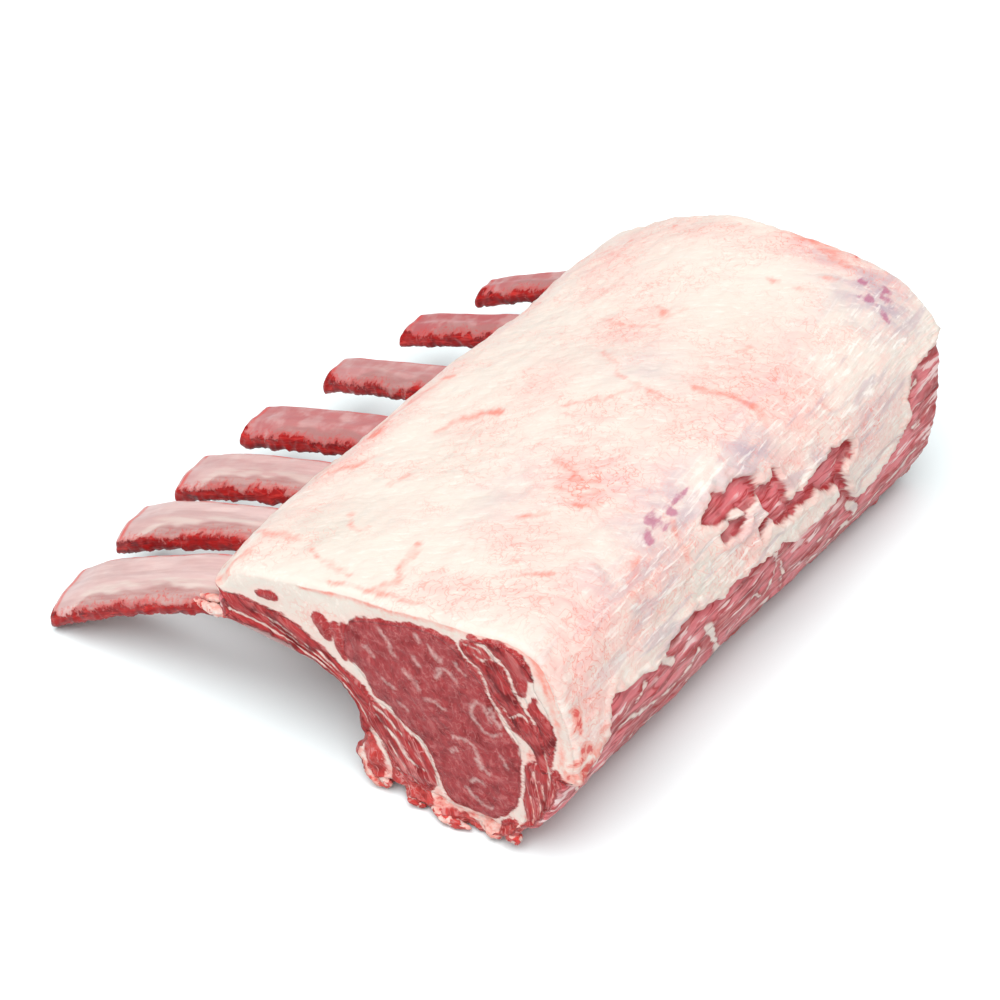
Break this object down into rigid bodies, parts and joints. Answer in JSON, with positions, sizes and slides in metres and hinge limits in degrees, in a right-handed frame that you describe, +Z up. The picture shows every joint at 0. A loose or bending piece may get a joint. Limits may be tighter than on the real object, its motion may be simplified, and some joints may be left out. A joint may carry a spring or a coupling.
{
  "type": "raw rack of lamb",
  "caption": "Raw rack of lamb with frenched rib bones: a fat cap over the loin eye and its side muscles, resting on the chine edge.",
  "frame": {"origin": "middle of the whole rack's footprint, at the height of the flat base it rests on", "axes": "+Y along the rack from the shoulder-end cut to the loin-end cut, -X towards the rib ends, +Z up through the fat cap"},
  "size_m": [0.1596, 0.1722, 0.0656],
  "materials": {
    "fat": "moist cream-white fat with pink and salmon streaks, softly translucent",
    "lean_eye": "moist dull red raw meat with pale marbling flecks",
    "lean_side": "moist coarse red raw meat with white seams",
    "trim": "ragged pale fat with red meat scraps",
    "bone": "scraped bone under a thin wet pinkish membrane, red along its lower edge"
  },
  "bodies": {
    "root": {"fat_cap": "fat", "loin_eye": "lean_eye", "cap_muscle_inner": "lean_side", "cap_muscle_outer": "lean_side", "chine_side_muscle": "lean_side", "rib_meat": "lean_side", "spine_side_muscle": "lean_side", "chine_trim": "trim", "rib_1": "bone", "rib_2": "bone", "rib_3": "bone", "rib_4": "bone", "rib_5": "bone", "rib_6": "bone", "rib_7": "bone"}
  },
  "joints": []
}
